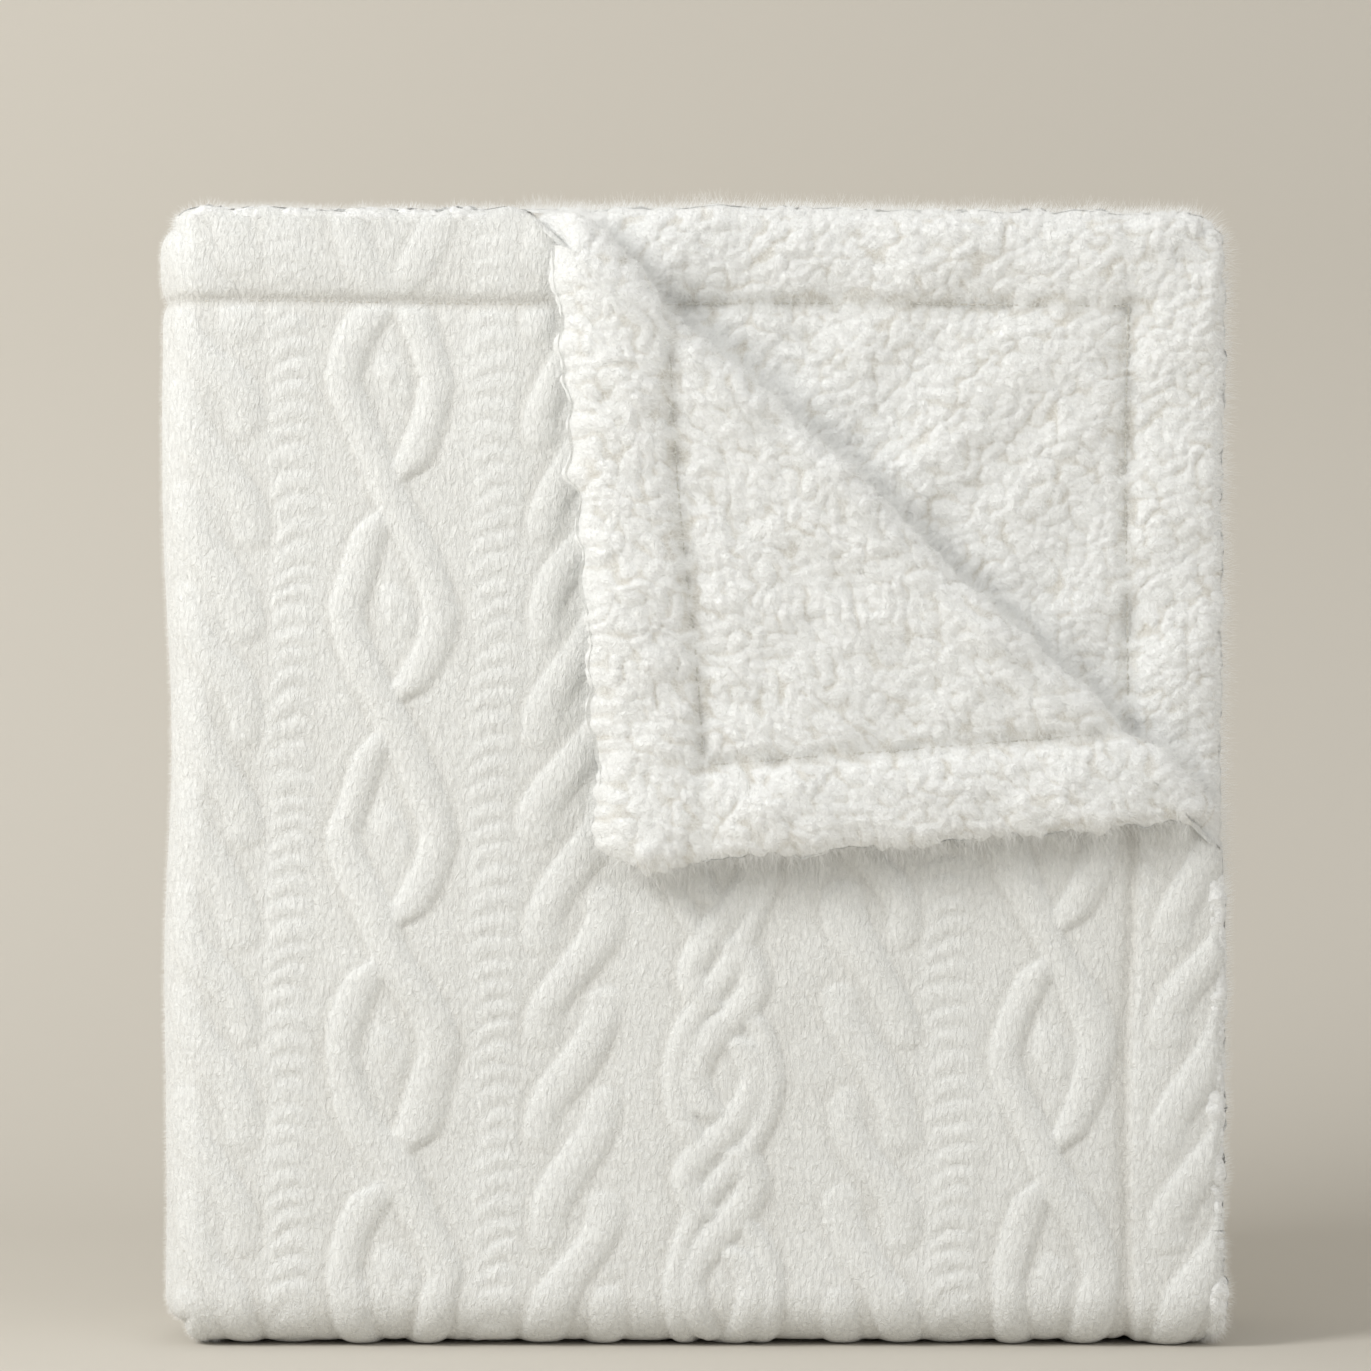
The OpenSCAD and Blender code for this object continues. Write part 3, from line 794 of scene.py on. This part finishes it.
FOLD_NODES = {
    "bottom": {"face_1": ["bottom_fold_face", "bottom_fold_foot"], "face_4": ["bottom_fold_core"],
               "face_in": ["bottom_fold_inner_face"], "lining_out": ["bottom_fold_lining"],
               "lining_in": ["bottom_fold_inner_lining"]},
    "top": {"face_1": ["top_fold_core"], "face_4": ["top_fold_face"], "face_in": ["top_fold_inner_face"],
            "lining_out": ["top_fold_inner_lining"], "lining_in": ["top_fold_lining"]},
}
for fold in ("bottom", "top"):
    place = at_bottom if fold == "bottom" else at_top
    runs = lengths(GRAIN * MM, 1.9 * MM, 1.6 * MM)
    rows = np.linspace(0, 1, 80)
    v_of = (lambda s: BOTTOM_Z - s * trough_len) if fold == "bottom" else (
        lambda s: BOTTOM_Z - trough_len - 0.351 - s * 0.113)
    for run, curve in runs.items():
        kind = "face" if run.startswith("face") else "lining"
        o = cloth(f"{fold}_fold_{run}", curve, rows, np.ones(len(rows)), place, v_of, kind, seams=[right_seam])
        y = BOTTOM_AXIS_Y if fold == "bottom" else TOP_AXIS_Y
        round_fold = place(np.zeros(80), np.full(80, float(curve["i"].mean())), rows)
        flat = (run_length(curve), float(np.linalg.norm(np.diff(round_fold, axis=0), axis=1).sum()))
        flat = flat if flat[1] > 10 * MM else None
        finish_piece(o, CLOTH_MAT[kind], kind + "_cloth", None, FOLD_NODES[fold][run], flat)
        other = "front_section" if fold == "bottom" else "back_section"
        sgn = 1 if fold == "bottom" else -1
        ends = ("middle_section", other, (0, y + sgn * 9 * MM, 0.1), (0, y - sgn * 9 * MM, 0.1))
        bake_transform(o)
    for ply in (1, 2):
        side_line = place(np.full(100, RIGHT - ARM), np.full(100, (ply - 0.5) * PLY), np.linspace(0, 1, 100))
        add_edge(f"{fold}_fold_side_edge_{ply}", side_line, (1, 0, 0), None,
                 FOLD_NODES[fold]["lining_out"][0], ends)

# ---------------------------------------------------------------- the bared corner of the second ply
def corner_grid(fine, reach):
    """Places near the throw's top right corner, counted in from the right edge and down from the top."""
    a = np.linspace(0, math.pi / 2, 8)[::-1]
    rim = ARM * (1 - np.sin(a))
    s = np.concatenate([rim, steps(ARM, reach, fine)[1:]])
    A, B = np.meshgrid(s, s, indexing="ij")
    return A, B


def rounded_corner(A, B, radius):
    """Pulls the square corner of a grid onto a round one."""
    da, db = np.clip(radius - A, 0, None) / radius, np.clip(radius - B, 0, None) / radius
    m, n = np.maximum(da, db), np.hypot(da, db)
    k = np.where((da > 0) & (db > 0), m / np.maximum(n, 1e-9), 1.0)
    return np.where(da > 0, radius - radius * da * k, A), np.where(db > 0, radius - radius * db * k, B)


def hem_left(A, B, radius):
    """How much of the thickness is left near the hem edges, and the outward push there."""
    da, db = np.clip(radius - A, 0, None), np.clip(radius - B, 0, None)
    d = np.where((da > 0) & (db > 0), radius - np.maximum(da, db), np.minimum(A, B))
    t = np.clip(1 - d / ARM, 0, 1)
    return np.sqrt(np.clip(1 - t ** 2, 0, 1)) - 0.3 * (t > 0.98), t


A, B = corner_grid(0.85 * MM, 265 * MM)
X, Z = RIGHT - A, TOP - B
inside = crease_side(X, Z) >= -16 * MM
F, rim = hem_left(A, B, 1 * MM)
h = curls(X, Z, 70, 5.0 * MM, 0.6, 0.6)
band = np.maximum(puffed(HEM - A), puffed(HEM - B))
dip = crossed_seams(A, B, "A")
dip = dip * (0.85 + 0.25 * waves(np.stack([X, Z], -1), 0.012, 73))
lift = (2.6 * MM * h - 1.0 * MM) * (1 - 0.6 * np.clip(dip, 0, 1)) - dip * 2.8 * MM + 2.6 * MM * band
puff = 1.6 * MM * waves(np.stack([X, Z], -1), 0.05, 71) + 0.6 * MM * waves(np.stack([X, Z], -1), 0.018, 72)
depth = PLY - (lift + puff) * F
mid = PLY + ARM
I = mid + (depth - mid) * F
edge_out = lift * (1 - rim) + fringe_of(X, Z, 2) * rim
X = X + rim * edge_out * (A <= B)
Z = Z + rim * edge_out * (B <= A)
P = warp(at_front(X, I, Z))
keep = inside[:-1, :-1] & inside[1:, :-1] & inside[1:, 1:] & inside[:-1, 1:]
# painted shade in the hollows between the curls and along the seams
corner = build("front_bared_corner_lining", P, keep, h * (1 - 0.6 * np.clip(dip, 0, 1)), P * 0 + [0, -1, 0])
finish_piece(corner, LINING_MAT, "lining_cloth", "front_section", ["front_ply_2_lining"],
             *flat_cells(A, B, keep))

# ---------------------------------------------------------------- the turned corner
shift = (float(crease_side(RIGHT, TOP)) - PLY - TURNED_REACH) / 2


def turn_down(X, Z):
    """Mirrors a place on the flat corner to where the turned corner lies."""
    s = crease_side(X, Z)
    line_s = PLY + shift
    return X - 2 * (s - line_s) * OUT[0], Z - 2 * (s - line_s) * OUT[2]


def flap_lift(X, Z):
    """How far the turned corner stands off the panel: slack along its free edges."""
    s = -crease_side(X, Z)
    along = (X - AXIS_P[0]) * ALONG[0] + (Z - AXIS_P[2]) * ALONG[2]
    q = np.stack([X, Z], -1)
    far = smooth(0, 0.15, s)
    right_end = smooth(0.08, 0.17, along)
    crumple = waves(q, 0.04, 84) * smooth(0.09, 0.15, along) * smooth(0, 0.02, s)
    slack = 1.2 + 4.5 * far + 2.2 * far * waves(q, 0.13, 81)
    return (slack + 3.0 * right_end * smooth(0, 0.03, s) + 1.8 * crumple) * MM


def turned_lining(U, V):
    """Relief of the lining on the turned corner at cloth place U across and V up, and the tone that paints shade
    into its hollows and seams.
    """
    A, B = RIGHT - U, TOP - V
    q = np.stack([U, V], -1)
    dip = crossed_seams(A, B, "B")
    dip = dip * (0.85 + 0.25 * waves(q, 0.012, 83))
    band = np.maximum(puffed(HEM - A), puffed(HEM - B))
    h = curls(U, V, 90, 5.0 * MM, 2.4, 1.0)
    keep = 1 - np.clip(dip, 0, 1)
    lift = (2.6 * MM * h - 1.0 * MM) * (0.4 + 0.6 * keep) - dip * 3.4 * MM + 3.2 * MM * band
    return lift + (0.9 * MM * waves(q, 0.02, 82) + 1.0 * MM * waves(q, 0.05, 95)) * keep, h * (0.4 + 0.6 * keep)


def flap_surface(name, kind, fine):
    A, B = corner_grid(fine, 262 * MM)
    A2, B2 = rounded_corner(A, B, CORNER_ROUND)
    X0, Z0 = RIGHT - A2, TOP - B2
    U, V = X0.copy(), Z0.copy()
    X, Z = turn_down(X0, Z0)
    s = crease_side(X, Z)
    inside = s <= 0
    step = np.clip(s, 0, None)
    X, Z = X - step * OUT[0], Z - step * OUT[2]
    F, rim = hem_left(A, B, CORNER_ROUND)
    if kind == "lining":
        lift, h = turned_lining(U, V)
        side = -1
    else:
        h = emboss(U, V)
        lift = 2.6 * MM * h - 2.6 * MM
        side = 1
    y_mid = FRONT_Y - 0.4 * MM - ARM - flap_lift(X, Z)
    half = side * (ARM + lift)
    Y = y_mid + half * F
    near_a = A2 <= B2
    push = rim * np.clip(lift, 0, None) + (1 - F) * (fringe_of(X0, Z0) + np.where(near_a, 0, 3.5 * MM))
    # outward along the mirrored hem edges
    ex, ez = turn_down(X0 + np.where(near_a, 1, 0) * push, Z0 + np.where(near_a, 0, 1) * push)
    ox, oz = turn_down(X0, Z0)
    X, Z = X + (ex - ox), Z + (ez - oz)
    P = warp(np.stack([X, Y, Z], -1))
    keep = touching(inside)
    # the relief height h also paints shade into the hollows of both cloths
    return build(name, P, keep, h, P * 0 + [0, side, 0]), flat_cells(A, B, keep)


flap_l, flat = flap_surface("turned_corner_lining", "lining", 0.85 * MM)
finish_piece(flap_l, LINING_MAT, "lining_cloth", "corner_flap", ["flap_lining"], *flat)
flap_f, flat = flap_surface("turned_corner_face", "face", 1.6 * MM)
finish_piece(flap_f, FACE_MAT, "face_cloth", "corner_flap", ["flap_face"], *flat)

# the rounded edge along the crease: lining outside, from the flap round to the back of the first ply
r_out = PLY + 0.2 * MM
turn_len = 2 * (PLY + shift)
s_dev = np.concatenate([turn_len + steps(3 * MM, 0, 1.0 * MM), np.linspace(turn_len, 0, 26)[1:],
                        -steps(0, 0.02, 2 * MM)[1:]])
t_up = (TOP - AXIS_P[2] - s_dev * OUT[2]) / ALONG[2]
t_right = (RIGHT - AXIS_P[0] - s_dev * OUT[0]) / ALONG[0]
t_0, t_1 = np.minimum(t_up, t_right), np.maximum(t_up, t_right)
share = np.linspace(0, 1, int((t_1 - t_0).max() / (0.95 * MM)))
share = np.concatenate([np.zeros(4), share, np.ones(4)])
closed = np.concatenate([np.linspace(0, 1, 5)[:4], np.ones(len(share) - 8), np.linspace(0, 1, 5)[3::-1]])
S = np.repeat(s_dev[:, None], len(share), 1)
T = t_0[:, None] + (t_1 - t_0)[:, None] * share[None, :]
U = AXIS_P[0] + T * ALONG[0] + S * OUT[0]
V = AXIS_P[2] + T * ALONG[2] + S * OUT[2]
turned_by = np.clip(1 - S / turn_len, 0, 1)
arc_a = turned_by * math.pi
beyond = np.clip(S - turn_len, 0, None) + np.clip(-S, 0, None)
lift, h = turned_lining(U, V)
lift = lift - 0.2 * MM * (S > turn_len)
near_end = np.clip(1 - np.minimum(RIGHT - U, TOP - V) / ARM, 0, 1)
rad = (r_out + lift * (1 - smooth(0.6, 1.0, turned_by)) - ARM * (1 - np.sqrt(1 - near_end ** 2))) * (
    np.where(S < -0.1 * MM, 1, closed[None, :]))
X = AXIS_P[0] + T * ALONG[0] + (rad * np.sin(arc_a) - beyond) * OUT[0]
Z = AXIS_P[2] + T * ALONG[2] + (rad * np.sin(arc_a) - beyond) * OUT[2]
front_off = flap_lift(X - 0.004 * OUT[0], Z - 0.004 * OUT[2])
Y = AXIS_P[1] - rad * np.cos(arc_a) - front_off * (1 - smooth(0, 0.5, turned_by))
P = warp(np.stack([X, Y, Z], -1))
radial = np.stack([np.sin(arc_a) * OUT[0], -np.cos(arc_a), np.sin(arc_a) * OUT[2]], -1)
# painted shade in the hollows between the curls, from their height h
crease = build("turned_corner_crease", P, None, h, radial)
flat = (float(np.ptp(s_dev)), float((t_1 - t_0).mean()))
finish_piece(crease, LINING_MAT, "lining_cloth", None, ["flap_crease_fold"], flat)
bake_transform(crease)

# the inside of the crease: a narrow strip of face cloth from the panel to the turned corner
ends_at = sorted([(TOP - AXIS_P[2]) / ALONG[2], (RIGHT - AXIS_P[0]) / ALONG[0]])
t = steps(ends_at[0] + ARM, ends_at[1] - ARM, 1.5 * MM)
X, Z = AXIS_P[0] + t * ALONG[0], AXIS_P[2] + t * ALONG[2]
panel_y = FRONT_Y - FACE_RISE * emboss(X, Z) + FACE_BASE
relief = 2.6 * MM * emboss(X + turn_len * OUT[0], Z + turn_len * OUT[2]) - 2.6 * MM
turned_y = FRONT_Y - 0.4 * MM - flap_lift(X, Z) + relief
share = np.array([0, 0, 0.25, 0.5, 0.75, 1, 1])[:, None]
back_by = np.array([2, 0, 0, 0, 0, 0, 2])[:, None] * MM
P = np.stack([X - back_by * OUT[0], panel_y + (turned_y - panel_y) * share, Z - back_by * OUT[2]], -1)
inside_strip = build("turned_corner_inside", warp(P), None, 0.5 + 0 * P[..., 0], P * 0 - [OUT[0], 0, OUT[2]])
finish_piece(inside_strip, FACE_MAT, "face_cloth", None, ["flap_face"])
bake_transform(inside_strip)


# ---------------------------------------------------------------- stitches
def stitches(name, points, normal, body, node):
    """Short rounded stitches end to end along a line of points."""
    verts, faces = [], []
    pts = np.array(points)
    seg = np.linalg.norm(np.diff(pts, axis=0), axis=1)
    pos = np.concatenate([[0], np.cumsum(seg)])
    total = pos[-1]
    n = int(total / (3.4 * MM))
    ring, rings = 6, 5
    for k in range(n):
        a, b = k * total / n, (k + 0.84) * total / n
        pa = np.array([np.interp(a, pos, pts[:, c]) for c in range(3)])
        pb = np.array([np.interp(b, pos, pts[:, c]) for c in range(3)])
        d = pb - pa
        d /= np.linalg.norm(d)
        side = np.cross(d, normal)
        base = len(verts)
        for r_i in range(rings):
            t = r_i / (rings - 1)
            c = pa + (pb - pa) * t + normal * 0.35 * MM * math.sin(math.pi * t)
            w = 0.42 * MM * math.sqrt(max(0.05, math.sin(math.pi * (0.06 + 0.88 * t))))
            for q in range(ring):
                g = 2 * math.pi * q / ring
                verts.append(c + side * w * math.cos(g) + normal * w * math.sin(g))
        for r_i in range(rings - 1):
            for q in range(ring):
                q2 = (q + 1) % ring
                faces.append((base + r_i * ring + q, base + r_i * ring + q2,
                              base + (r_i + 1) * ring + q2, base + (r_i + 1) * ring + q))
        faces.append(tuple(base + q for q in range(ring))[::-1])
        faces.append(tuple(base + (rings - 1) * ring + q for q in range(ring)))
    me = bpy.data.meshes.new(name)
    me.from_pydata([tuple(v) for v in verts], [], faces)
    me.polygons.foreach_set("use_smooth", [True] * len(faces))
    o = bpy.data.objects.new(name, me)
    bpy.context.scene.collection.objects.link(o)
    finish_piece(o, THREAD_MAT, "thread", body, [node])
    return o


def outer(co):
    return (co[:, 0] < BEND_X + 4 * MM) | (co[:, 0] > RIGHT - 5 * MM) | (co[:, 2] > TOP - 6 * MM)


SHORT = (1.3e6, 1.2 * MM, 0.05 * MM, 0.9 * MM)
EDGE = (1.6e6, 2.6 * MM, 0.05 * MM, 2.2 * MM)
LONG = (1.6e6, 4.2 * MM, 0.05 * MM, 4.0 * MM)
for zone in ("front", "middle", "back", "bottom_fold", "top_fold"):
    for run in ("face_1", "face_4"):
        o = bpy.data.objects[f"{zone}_{run}"]
        whole = o.name in ("front_face_1", "back_face_4", "top_fold_face_4")
        pile(o, *SHORT, where=None if whole else outer)
for o in (flap_l, corner, crease):
    pile(o, *LONG)
for o in edges:
    pile(o, *EDGE)

TOWARDS = np.array([0.0, -1.0, 0.0])
xs = np.arange(BEND_X, RIGHT, 4 * MM)
xs = xs[crease_side(xs, TOP - HEM) < -2 * MM]
deep = 3.2 * MM
line_a = warp(np.stack([xs, np.full_like(xs, FRONT_Y + deep), np.full_like(xs, TOP - HEM)], -1))
stitches("front_top_stitches", line_a, TOWARDS, "front_section", "front_hem_stitch")
zs = np.arange(BOTTOM_Z + 2 * MM, TOP, 4 * MM)
zs = zs[crease_side(RIGHT - HEM, zs) < -2 * MM]
line_b = warp(np.stack([np.full_like(zs, RIGHT - HEM), np.full_like(zs, FRONT_Y + deep), zs], -1))
stitches("front_side_stitches", line_b, TOWARDS, "front_section", "front_hem_stitch")
xs = np.arange(BEND_X, TURN_X, 4 * MM)
line_c = warp(np.stack([xs, np.full_like(xs, BACK_Y + SECTION - deep), np.full_like(xs, HEM)], -1))
stitches("back_hem_stitches", line_c, -TOWARDS, "back_section", "back_hem_stitch")
s = np.arange(HEM, 0.26, 4 * MM)
for label, cx_, cz_ in (("top", RIGHT - s, np.full_like(s, TOP - HEM)),
                        ("side", np.full_like(s, RIGHT - HEM), TOP - s)):
    side = crease_side(cx_, cz_)
    m = side > 2 * MM
    line_d = warp(np.stack([cx_[m], np.full(m.sum(), FRONT_Y + PLY + 2.4 * MM), cz_[m]], -1))
    stitches(f"corner_{label}_stitches", line_d, TOWARDS, "front_section", "corner_hem_stitch")
    tx, tz = turn_down(cx_, cz_)
    m = crease_side(tx, tz) < -2 * MM
    y = FRONT_Y - 0.4 * MM - PLY - flap_lift(tx[m], tz[m]) + 3.2 * MM
    line_e = warp(np.stack([tx[m], y, tz[m]], -1))
    stitches(f"flap_{label}_stitches", line_e, TOWARDS, "corner_flap", "flap_hem_stitch")

# ---------------------------------------------------------------- stage, light, camera
def one_sided(name, colour, rough=0.9):
    """A matt material that is clear from behind, so the backdrop hides nothing in views from the back."""
    m = bpy.data.materials.new(name)
    m.use_nodes = True
    nt = m.node_tree
    b = nt.nodes["Principled BSDF"]
    b.inputs["Base Color"].default_value = (*colour, 1)
    b.inputs["Roughness"].default_value = rough
    b.inputs["Specular IOR Level"].default_value = 0.1
    clear = nt.nodes.new("ShaderNodeBsdfTransparent")
    mix = nt.nodes.new("ShaderNodeMixShader")
    side = nt.nodes.new("ShaderNodeNewGeometry")
    nt.links.new(side.outputs["Backfacing"], mix.inputs[0])
    nt.links.new(b.outputs["BSDF"], mix.inputs[1])
    nt.links.new(clear.outputs["BSDF"], mix.inputs[2])
    nt.links.new(mix.outputs["Shader"], nt.nodes["Material Output"].inputs["Surface"])
    return m


ys = [-2.6, -1.0, 0.0, 0.35]
zs_ = [0.0, 0.0, 0.0, 0.0]
for k in range(1, 17):
    a = k / 16 * math.pi / 2
    ys.append(0.35 + 0.5 * math.sin(a))
    zs_.append(0.5 - 0.5 * math.cos(a))
ys.append(0.85)
zs_.append(3.0)
sweep = np.array([[(x, y, z - 0.0002) for y, z in zip(ys, zs_)] for x in (-4.0, -2.0, 0.0, 2.0, 4.0)])
backdrop = build("backdrop", sweep, None, None, sweep * 0 + [0, -1, 1])
backdrop.data.materials.append(one_sided("backdrop", (0.60, 0.568, 0.508)))


def area_light(name, place, target, size, power, colour):
    data = bpy.data.lights.new(name, "AREA")
    data.shape = "RECTANGLE"
    data.size, data.size_y = size
    data.energy = power
    data.color = colour
    o = bpy.data.objects.new(name, data)
    o.location = place
    o.rotation_euler = (Vector(target) - Vector(place)).to_track_quat("-Z", "Y").to_euler()
    bpy.context.scene.collection.objects.link(o)
    return o


area_light("key", (-1.5, -1.1, 1.35), (0, 0, 0.2), (0.7, 0.7), 32, (1.0, 0.995, 0.985))
area_light("fill", (1.6, -1.9, 0.9), (0, 0, 0.2), (1.6, 1.6), 8, (1.0, 0.99, 0.98))
world = bpy.data.worlds.new("world")
bpy.context.scene.world = world
world.use_nodes = True
world.node_tree.nodes["Background"].inputs["Color"].default_value = (1.0, 0.99, 0.97, 1)
world.node_tree.nodes["Background"].inputs["Strength"].default_value = 0.6

view = bpy.context.scene.view_settings
view.view_transform = "Standard"
view.look = "None"

cam_data = bpy.data.cameras.new("camera")
cam = bpy.data.objects.new("camera", cam_data)
bpy.context.scene.collection.objects.link(cam)
distance = 1.8
cam.location = (-1.5 * MM, FRONT_Y - distance, 252.5 * MM)
cam.rotation_euler = (math.pi / 2, 0, 0)
cam_data.lens_unit = "FOV"
cam_data.angle = 2 * math.atan(0.2607 / distance)
bpy.context.scene.camera = cam
